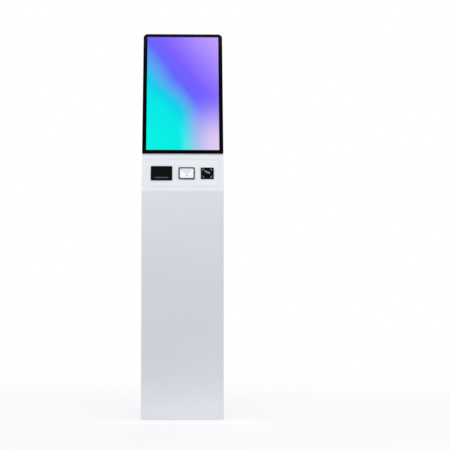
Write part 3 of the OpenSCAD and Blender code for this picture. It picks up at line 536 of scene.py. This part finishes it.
# Brackets' screws: two folded angles of zinc-plated sheet clamp the panel's long edges, and three
# pan heads hold each of them.
bracket_t = 0.002
bracket_x = 0.1475
bracket_step = 0.179
bracket_screw_r = 0.0032
bracket_screw_rise = 0.0018
bm = bmesh.new()
for side in (-1, 1):
    for step in (-1, 0, 1):
        up = view_middle + step * bracket_step
        spot = at_front(side * bracket_x, up, panel_depth + bracket_t)
        pan_head(bm, spot, x_way, up_glass, inward, bracket_screw_r, bracket_screw_rise)
add_piece("bracket_screws", bm, [zinc], "cabinet")

# Door leaves' rivets: flat round heads, seven on each door, set through the hinge's leaf into the
# door's inner face near its lower edge.
kink_up = 0.204
head_depth = 0.066
kink = at_front(0, kink_up, head_depth)
neck_foot = Vector((0, -0.1485, 0.786))
neck_up = (kink - neck_foot).normalized()
neck_out = neck_up.cross(x_way)
leaf_in = 0.0032
rivet_up = 0.0115
rivet_pitch = 0.042
rivet_d = 0.006
rivet_rings = [(0, 0), (0, 0.0003), (0.0003, 0.0006), (0.0009, 0.0008)]


def round_corner(d):
    """The corner that makes a block of this width round, but for a hair of flat on each side."""
    return d / 2 - 0.00001


rivet_r = round_corner(rivet_d)
for body, name, lower_edge, up_way, out_way in (
    ("upper_door", "upper_rivets", kink, up_glass, inward),
    ("lower_door", "lower_rivets", neck_foot, neck_up, neck_out),
):
    bm = bmesh.new()
    for step in range(-3, 4):
        spot = lower_edge + x_way * (rivet_pitch * step) + up_way * rivet_up - out_way * leaf_in
        raised(bm, spot, x_way, up_way, -out_way, rivet_d, rivet_d, rivet_r, rivet_rings)
    add_piece(name, bm, [zinc], body)

# Controller's sockets: a row of moulded connectors along the lower edge of its finned case, each
# with its open mouth downwards.
controller_foot = 0.339
controller_middle = panel_depth + 0.014
socket_r = 0.001
mouth = [(0, 0), (0, 0.0022), (0.0003, 0.0025), (0.0012, 0.0025), (0.0014, 0.0006)]
bm = bmesh.new()
for x, wide, tall in (
    (-0.068, 0.016, 0.014),
    (-0.046, 0.016, 0.014),
    (-0.022, 0.0145, 0.0075),
    (-0.003, 0.0145, 0.0075),
    (0.02, 0.017, 0.006),
):
    spot = at_front(x, controller_foot, controller_middle)
    raised(bm, spot, x_way, inward, -up_glass, wide, tall, socket_r, mouth)
add_piece("controller_sockets", bm, [chip_case], "cabinet")

# Wiring: a corrugated conduit from the mains inlet to the supply, and one from there up into the
# head, where its plug sits in the controller's lower edge. White nylon ties are drawn round it.
conduit_r = 0.005
mains_y = front_y + 0.049
riser_x = 0.06
riser_y = front_y + 0.062
inlet_z = 0.13
supply_foot = 0.22
supply_top = 0.35
riser_top = 0.881
rib_step = 0.0012
mains_reach = 0.02
riser_reach = 0.018
plug_w = 0.02
plug_d = 0.013
plug_l = 0.016
plug_r = 0.002
plug_lead_in = 0.04
tie_rise = 0.0007
tie_half = 0.0015
tie_spare = 0.0001
tie_places = (0.2, 0.45, 0.66, 0.85)


def soft_route(points, reach):
    """The route with each corner rounded over so much of both its sides."""
    steps = 8
    route = [points[0]]
    for before, corner, after in zip(points, points[1:], points[2:]):
        start = corner + (before - corner).normalized() * reach
        stop = corner + (after - corner).normalized() * reach
        for step in range(steps + 1):
            share = step / steps
            bow = corner * (2 * share * (1 - share))
            route.append(start * (1 - share) ** 2 + bow + stop * share**2)
    return route + [points[-1]]


def even_steps(route, step):
    """Points at even steps along a route, each with its direction."""
    spots = []
    left = 0.0
    for start, stop in zip(route, route[1:]):
        way = (stop - start).normalized()
        run = (stop - start).length
        while left < run:
            spots.append((start + way * left, way))
            left += step
        left -= run
    return spots


def conduit(bm, route, radius_at, finish, step):
    """A tube round a route that stays in a plane across X, closed at both ends."""
    sides = 12
    rows = []
    for count, (spot, way) in enumerate(even_steps(route, step)):
        round_way = way.cross(x_way)
        reach = radius_at(count)
        row = []
        for turn in range(sides):
            angle = 2 * math.pi * turn / sides
            off = x_way * math.cos(angle) + round_way * math.sin(angle)
            row.append(bm.verts.new(spot + off * reach))
        rows.append(row)
    skin(bm, rows, finish)


def ribbed(count):
    """The conduit's radius at a step: two steps of rib, then two of groove."""
    return conduit_r * (1.0 if count % 4 < 2 else 0.88)


def tied(count):
    """The radius of a tie drawn round the conduit."""
    return conduit_r + tie_rise


tie_white = mottled(
    "cable tie", srgb(214, 214, 208), srgb(230, 230, 225),
    spread=(0.3, 0.7), rough=(0.35, 0.1), grains=500, detail=2,
)
mains_run = [
    Vector((0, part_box("power_inlet")[0].y, inlet_z)),
    Vector((0, mains_y, inlet_z)),
    Vector((0, mains_y, supply_foot)),
]
plug_spot = at_front(riser_x, controller_foot, controller_middle)
behind_modules = at_front(riser_x, 0.15, 0.045)
riser_run = [
    Vector((riser_x, riser_y, supply_top)),
    Vector((riser_x, riser_y, riser_top)),
    behind_modules,
    at_front(riser_x, controller_foot - plug_lead_in, controller_middle),
    plug_spot,
]
riser_route = soft_route(riser_run, riser_reach)
bm = bmesh.new()
conduit(bm, soft_route(mains_run, mains_reach), ribbed, 0, rib_step)
conduit(bm, riser_route, ribbed, 0, rib_step)
plug_rings = [(0.001, 0), (0, 0.001), (0, plug_l)]
plug_end = plug_spot - up_glass * plug_l
raised(bm, plug_end, x_way, inward, up_glass, plug_w, plug_d, plug_r, plug_rings)
riser_spots = even_steps(riser_route, 0.001)
for share in tie_places:
    spot, way = riser_spots[int(share * len(riser_spots))]
    tie_run = [spot - way * tie_half, spot + way * (tie_half + tie_spare)]
    conduit(bm, tie_run, tied, 1, tie_half)
wiring = add_piece("wiring", bm, [rubber, tie_white], "cabinet")
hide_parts("wiring_loom")

# Ticket printer's bezel, cover and buttons, and the mains inlet: black ABS, injection moulded with
# a fine spark-eroded grain. The bezel and the inlet sit in cut-outs, each with a lip outside.
moulded_edge = 0.0005
button_edge = 0.0003
black_abs = mottled(
    "black moulding", srgb(4, 4, 5), srgb(11, 11, 12),
    spread=(0.3, 0.75), rough=(0.42, 0.2), grains=900, detail=4, bump=(0.15, 0.0002),
    fixed={"Specular IOR Level": 0.035},
)
dress(black_abs, moulded_edge, "printer_bezel", "printer_cover")
dress(black_abs, button_edge, "release_button", "feed_button", "power_inlet")

# Mains inlet's contacts: three nickel-plated blades that stand in the socket, chamfered at their
# tips. They are pressed into its floor, with the earth blade higher than the other two.
socket_d = 0.0125
socket_floor_y = panel_back_y - socket_d
blade_w = 0.0021
blade_h = 0.0041
blade_r = 0.0003
blade = [(0, 0), (0, 0.0084), (0.0005, 0.0092)]
bm = bmesh.new()
for x, z in ((-0.007, 0.119), (0, 0.125), (0.007, 0.119)):
    spot = Vector((x, socket_floor_y, z))
    raised(bm, spot, x_way, z_way, y_way, blade_w, blade_h, blade_r, blade)
add_piece("inlet_blades", bm, [chrome], "cabinet")

# Mains rocker: moulded in ABS like the inlet, on a pivot of its own, with the line and the ring of
# a mains switch printed on its two halves in white.
mark_up = 0.0042
mark_half = 0.0004
line_half = 0.0018
ring_r = 0.0017
low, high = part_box("power_rocker")
middle = (low + high) / 2
rocker, tree, place = start_finish("rocker moulding")
x_off = tree.node("SeparateXYZ", {}, {"Vector": place}, "X") - middle.x
z_off = tree.node("SeparateXYZ", {}, {"Vector": place}, "Z") - middle.z
line = (abs(x_off) < mark_half) * (abs(z_off - mark_up) < line_half)
from_ring = tree.sum("SQRT", x_off * x_off + (z_off + mark_up) * (z_off + mark_up)) - ring_r
mark = tree.sum("MAXIMUM", line, abs(from_ring) < mark_half)
spark = noise(tree, place, 900, 4)
end_finish(
    tree,
    {
        "Base Color": mark.blend(srgb(14, 14, 15), srgb(225, 225, 225)),
        "Roughness": 0.4 + 0.2 * spark,
    },
    [(spark, 0.15, 0.0002)],
)
dress(rocker, button_edge, "power_rocker")

# Inner mouldings, the reader's frame and the tear bar: dark grey ABS with the same grain. The
# housings stand behind the module plate, and the bar's teeth are left almost sharp.
housing_edge = 0.0004
tooth_edge = 0.0001
grey_abs = mottled(
    "grey moulding", srgb(40, 41, 43), srgb(52, 53, 55),
    spread=(0.3, 0.75), rough=(0.45, 0.2), grains=900, detail=4, bump=(0.15, 0.0002),
)
dress(grey_abs, housing_edge, "printer_bucket", "reader_frame", "reader_housing", "scanner_housing")
dress(grey_abs, tooth_edge, "tear_bar")

# Feed train behind the printer's cover: moulded nylon gears, a turned brass pinion on the motor, a
# fired ceramic strip with its line of heaters, and the paper roll, which lies loose in its bucket.
nylon = mottled(
    "nylon", srgb(222, 216, 200), srgb(234, 229, 214),
    spread=(0.3, 0.7), rough=(0.4, 0.1), grains=300, detail=2, fixed={"Subsurface Weight": 0.1},
)
dress(nylon, 0, "platen_gear", "idler_gear")

brass = mottled(
    "brass", srgb(200, 164, 84), srgb(226, 192, 112),
    spread=(0.3, 0.7), rough=(0.2, 0.2), grains=60, detail=3,
    stretch=(40.0, 1.0, 1.0), fixed={"Metallic": 1.0},
)
dress(brass, 0, "motor_pinion")

printer_x = -0.085
module_up = 0.076
heater_drop = 0.0105
heater_half = 0.0007
glaze_half = 0.002
ceramic, tree, place = start_finish("heating strip")
along = across_and_up(tree, place, printer_x, module_up - heater_drop)[1]
heater = abs(along) < heater_half
glaze = (abs(along) < glaze_half) * 0.35
fired = noise(tree, place, 900, 3)
strip_tone = fired.rise(0.3, 0.7).blend(srgb(196, 188, 172), srgb(210, 203, 188))
glazed_tone = glaze.blend(strip_tone, srgb(120, 100, 76))
end_finish(
    tree,
    {
        "Base Color": heater.blend(glazed_tone, srgb(52, 40, 32)),
        "Roughness": 0.4 + 0.2 * fired - 0.3 * glaze,
    },
)
dress(ceramic, 0, "thermal_head")

layer_waves = 12000
low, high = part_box("paper_roll")
middle = (low + high) / 2
paper, tree, place = start_finish("ticket paper")
off = tree.node("VectorMath", {"operation": "SUBTRACT"}, {0: place, 1: middle})
flat = tree.node("VectorMath", {"operation": "MULTIPLY"}, {0: off, 1: (0.0, 1.0, 1.0)})
turn_r = tree.node("VectorMath", {"operation": "LENGTH"}, {0: flat}, "Value")
layers = tree.sum("SINE", turn_r * layer_waves)
fibre = noise(tree, place, 1800, 4)
end_finish(
    tree,
    {
        "Base Color": fibre.rise(0.3, 0.7).blend(srgb(243, 243, 240), srgb(248, 248, 245)),
        "Roughness": 0.8 + 0.1 * fibre,
    },
    [(layers, 0.2, 0.0001), (fibre, 0.1, 0.0001)],
)
dress(paper, 0, "paper_roll")

# Card reader's pad: polished polycarbonate in the dark frame, with a shallow wedge printed on it
# that points to a small lamp. The lamp is a black moulded ring with its lens sunk in it.
reader_x = 0.0157
pad_front = 0.0024
wedge_slope = 0.8
wedge_foot = -0.0055
wedge_soft = 0.0005
lamp_d = 0.0048
lamp_off = 0.001
lamp_drop = 0.0095
pad, tree, place = start_finish("reader pad")
beside, along = across_and_up(tree, place, reader_x, module_up)
wedge = (along - wedge_slope * abs(beside)).rise(wedge_foot, wedge_foot + wedge_soft)
satin = noise(tree, place, 120, 2)
end_finish(
    tree,
    {
        "Base Color": wedge.blend(srgb(243, 243, 244), srgb(222, 223, 226)),
        "Roughness": 0.3 + 0.1 * satin,
    },
    [(wedge, 0.1, 0.0002)],
)
dress(pad, moulded_edge, "reader_pad")

lamp_rings = [
    (0, 0), (0, 0.0003), (0.0004, 0.0006), (0.0008, 0.0005), (0.0011, 0.0003), (0.0019, 0.0005),
]
lamp_spot = at_front(reader_x + lamp_off, module_up - lamp_drop, -pad_front)
lamp_r = round_corner(lamp_d)
bm = bmesh.new()
raised(bm, lamp_spot, x_way, up_glass, out_of_front, lamp_d, lamp_d, lamp_r, lamp_rings)
add_piece("reader_lamp", bm, [black_abs], "cabinet")

# Reader's board: it stands on four moulded posts in the housing, which is open at its back, and a
# pan-head screw on each post holds it.
post_foot = 0.002
post_l = 0.007
post_d = 0.005
post_x = 0.021
post_up = 0.0145
post_screw_r = 0.0022
post_screw_rise = 0.0013
reader_board_w = 0.0495
reader_board_l = 0.0365
post_r = round_corner(post_d)
post = [(0, 0), (0, post_l)]
post_top = post_foot + post_l
board_back = post_top + board_t
posts = bmesh.new()
heads = bmesh.new()
for side in (-1, 1):
    for end in (-1, 1):
        x = reader_x + side * post_x
        up = module_up + end * post_up
        raised_inside(posts, x, up, post_foot, post_d, post_d, post_r, post, 1)
        spot = at_front(x, up, board_back)
        pan_head(heads, spot, x_way, up_glass, inward, post_screw_r, post_screw_rise)
raised_inside(
    posts, reader_x, module_up, post_top, reader_board_w, reader_board_l, board_r, bare_board
)
for x, up, wide, long, tall in (
    (-0.003, 0.003, 0.01, 0.01, 0.0014),
    (0.012, 0.006, 0.005, 0.004, 0.001),
    (0.012, -0.004, 0.006, 0.003, 0.0018),
    (-0.014, 0.006, 0.004, 0.006, 0.001),
    (-0.013, -0.005, 0.004, 0.004, 0.0012),
    (0.001, -0.013, 0.016, 0.006, 0.0055),
):
    chip(posts, reader_x + x, module_up + up, board_back, wide, long, tall)
add_piece("reader_board", posts, [board, chip_case], "cabinet")
add_piece("reader_screws", heads, [zinc], "cabinet")

# Code scanner: a smoked acrylic window over the scan engine. Four corner marks are screen printed
# behind it in grey to show where to hold a code. A slanted band the shape of a ticket is a painted
# reflection on the window, dark at its lower edge and light at its upper one. A nylon socket for
# its lead stands on the housing's back.
scanner_x = 0.0985
scanner_depth = 0.034
mark_reach = 0.0185
mark_arm = 0.0075
mark_line = 0.0012
ticket_up = 0.003
ticket_half_w = 0.0115
ticket_half_l = 0.005
slant = math.radians(-24)
smoked, tree, place = start_finish("scanner window")
beside, along = across_and_up(tree, place, scanner_x, module_up)
inside = mark_reach - mark_line
arm_start = mark_reach - mark_arm
outer = (abs(beside) < mark_reach) * (abs(along) < mark_reach)
inner = (abs(beside) < inside) * (abs(along) < inside)
corner = (abs(beside) > arm_start) * (abs(along) > arm_start)
marks = outer * (1 - inner) * corner
above = along - ticket_up
ticket_x = beside * math.cos(slant) + above * math.sin(slant)
ticket_y = above * math.cos(slant) - beside * math.sin(slant)
ticket = (abs(ticket_x) < ticket_half_w) * (abs(ticket_y) < ticket_half_l)
# Painted reflection: the band's grey rises from dark at its lower edge to light at its upper one.
painted_reflection = ticket * ticket_y.rise(-0.006, 0.006)
window_with_reflection = painted_reflection.blend(srgb(6, 6, 7), srgb(158, 159, 162))
smear = noise(tree, place, 60, 3)
end_finish(
    tree,
    {
        "Base Color": marks.blend(window_with_reflection, srgb(186, 187, 189)),
        "Roughness": 0.12 + 0.1 * smear,
        "Specular IOR Level": 0.04,
    },
)
dress(smoked, moulded_edge, "scanner_window")

lead_up = module_up - 0.006
lead_w = 0.013
lead_l = 0.0065
lead_r = 0.0006
lead_mouth = [(0, 0), (0, 0.0042), (0.0003, 0.0045), (0.001, 0.0045), (0.0012, 0.0012)]
bm = bmesh.new()
raised_inside(bm, scanner_x, lead_up, scanner_depth, lead_w, lead_l, lead_r, lead_mouth)
add_piece("scanner_socket", bm, [nylon], "cabinet")

# Studio: a pale floor that runs into a white surround, one large soft lamp above, a weak one from
# each side and from behind, and two strips before the bend and the foot that leave the column's
# middle darker. The camera has a long lens and stands well in front, at half a metre's height.
floor_half = 30.0
floor_z = -0.0002
floor_white = 0.76
floor_tone = (0.86, 0.86, 0.86, 1.0)
surround_tone = (0.375, 0.396, 0.452, 1.0)
pure_white = (1.0, 1.0, 1.0, 1.0)


def seen_rays(tree):
    """One for the rays that see the surround: from the camera, off a gloss or through glass."""
    camera_ray = tree.node("LightPath", out="Is Camera Ray")
    glossy_ray = tree.node("LightPath", out="Is Glossy Ray")
    clear_ray = tree.node("LightPath", out="Is Transmission Ray")
    return camera_ray + glossy_ray + clear_ray


bm = bmesh.new()
corners = [(-floor_half, -floor_half), (floor_half, -floor_half)]
corners += [(floor_half, floor_half), (-floor_half, floor_half)]
bm.faces.new([bm.verts.new((x, y, floor_z)) for x, y in corners])
mesh = bpy.data.meshes.new("floor")
bm.to_mesh(mesh)
bm.free()
floor = bpy.data.objects.new("floor", mesh)
bpy.context.scene.collection.objects.link(floor)
floor_paint, tree, place = start_finish("studio floor")
away = tree.node("VectorMath", {"operation": "LENGTH"}, {0: place}, "Value")
seen = seen_rays(tree) * (floor_white + (1 - floor_white) * away.rise(0.6, 2.6))
matt = tree.node("BsdfDiffuse", {}, {"Color": floor_tone})
white = tree.node("Emission", {}, {"Color": pure_white, "Strength": 1.0})
cover = tree.node("MixShader", {}, {0: seen, 1: matt, 2: white})
tree.node("OutputMaterial", {}, {"Surface": cover})
mesh.materials.append(floor_paint)

world = bpy.data.worlds.new("surround")
bpy.context.scene.world = world
world.use_nodes = True
world.node_tree.nodes.clear()
tree = Wire(world.node_tree)
colour = seen_rays(tree).blend(surround_tone, pure_white)
around = tree.node("Background", {}, {"Color": colour, "Strength": 1.0})
tree.node("OutputWorld", {}, {"Surface": around})


def soft_lamp(name, place, aim, wide, tall, power):
    """A soft lamp at a place, turned to its aim."""
    lamp = bpy.data.lights.new(name, "AREA")
    lamp.shape = "RECTANGLE"
    lamp.size = wide
    lamp.size_y = tall
    lamp.energy = power
    holder = bpy.data.objects.new(name, lamp)
    holder.location = place
    holder.rotation_euler = (Vector(aim) - Vector(place)).to_track_quat("-Z", "Y").to_euler()
    bpy.context.scene.collection.objects.link(holder)


soft_lamp("top softbox", (0, -1.2, 4.2), (0, -0.2, 0.6), 1.8, 1.8, 52)
soft_lamp("left softbox", (-3.4, -1.4, 2.3), (0, 0, 0.9), 1.8, 1.8, 24)
soft_lamp("right softbox", (3.4, -1.4, 2.3), (0, 0, 0.9), 1.8, 1.8, 24)
soft_lamp("back softbox", (0.6, 3.4, 2.4), (0, 0, 0.9), 2.0, 2.0, 50)
soft_lamp("front strip", (0, -1.1, 1.25), (0, front_y, 0.95), 1.2, 0.2, 1.9)
soft_lamp("low strip", (0, -0.37, 0.03), (0, front_y, 0.02), 0.6, 0.03, 0.06)

sensor_w = 36
picture_px = 450
focal_px = 1380.6
camera_tilt = math.radians(90 + 2.622)
camera_turn = math.radians(-1.759)
camera_data = bpy.data.cameras.new("camera")
camera_data.sensor_width = sensor_w
camera_data.lens = sensor_w * focal_px / picture_px
camera = bpy.data.objects.new("camera", camera_data)
camera.location = (0, -5.7315, 0.5222)
camera.rotation_euler = (camera_tilt, 0, camera_turn)
bpy.context.scene.collection.objects.link(camera)
bpy.context.scene.camera = camera
bpy.context.scene.view_settings.view_transform = "Standard"
